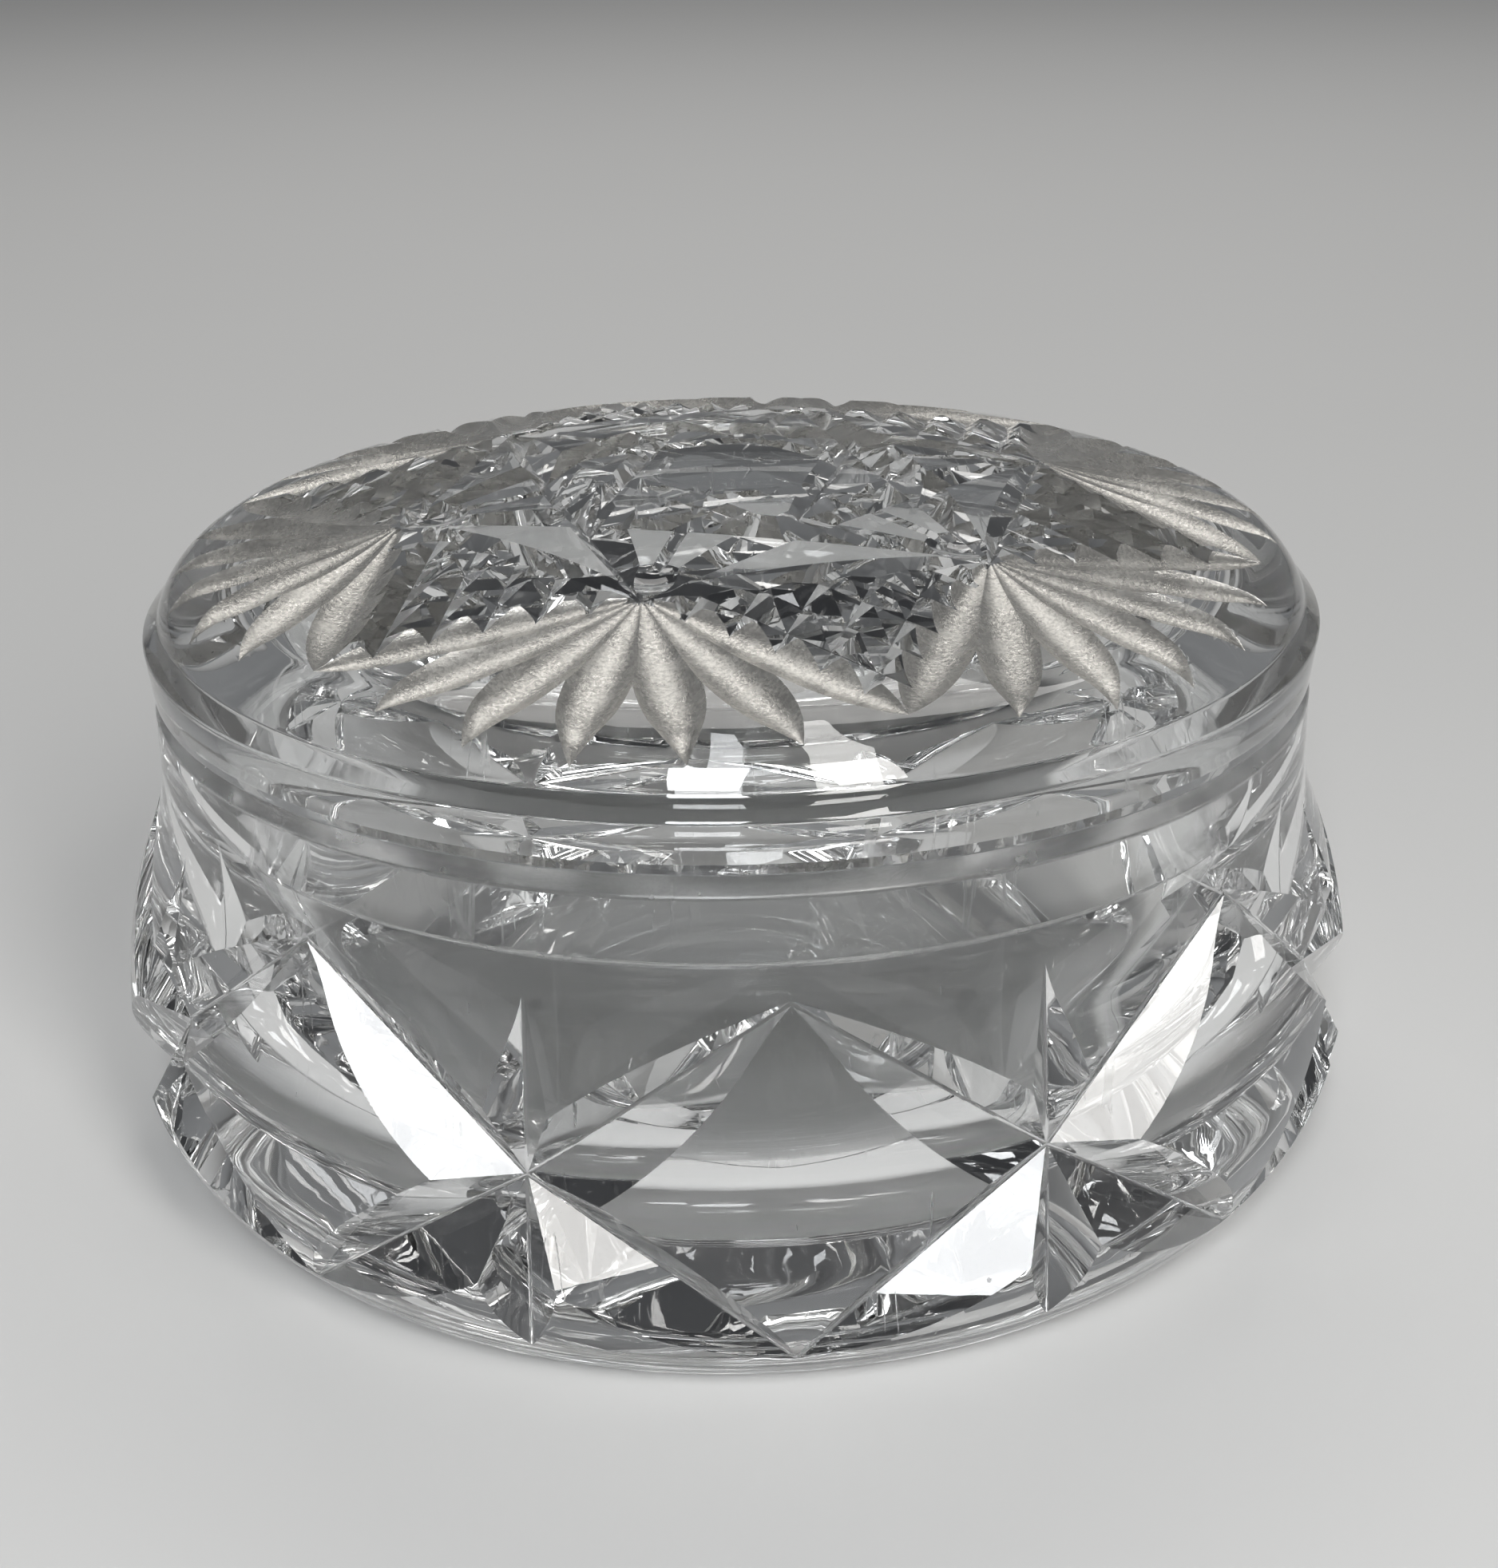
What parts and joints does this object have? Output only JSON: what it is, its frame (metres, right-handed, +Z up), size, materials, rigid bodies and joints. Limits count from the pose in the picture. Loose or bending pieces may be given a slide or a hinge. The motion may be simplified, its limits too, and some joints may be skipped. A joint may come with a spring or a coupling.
{
  "type": "candy box",
  "caption": "Low round covered candy box in clear cut crystal: a thick bowl cut with mitred stars and a domed lid cut with fans of satin leaves round a star.",
  "frame": {"origin": "middle of the flat base, on the surface that the box stands on", "axes": "+Z up along the bowl's axis, -Y the front, where a lozenge between two stars faces the viewer"},
  "size_m": [0.15, 0.15, 0.0811],
  "materials": {
    "crystal_bowl": "polished clear crystal with polished mitre cuts and a ground rim",
    "crystal_lid": "polished clear crystal with satin leaf cuts and polished star cuts"
  },
  "bodies": {
    "bowl_body": {"bowl": "crystal_bowl"},
    "lid_body": {"lid": "crystal_lid"}
  },
  "joints": [
    {"name": "lid_lift", "type": "slide", "parent": "bowl_body", "child": "lid_body", "axis": [0, 0, 1], "range_m": [0, 0.06]}
  ]
}
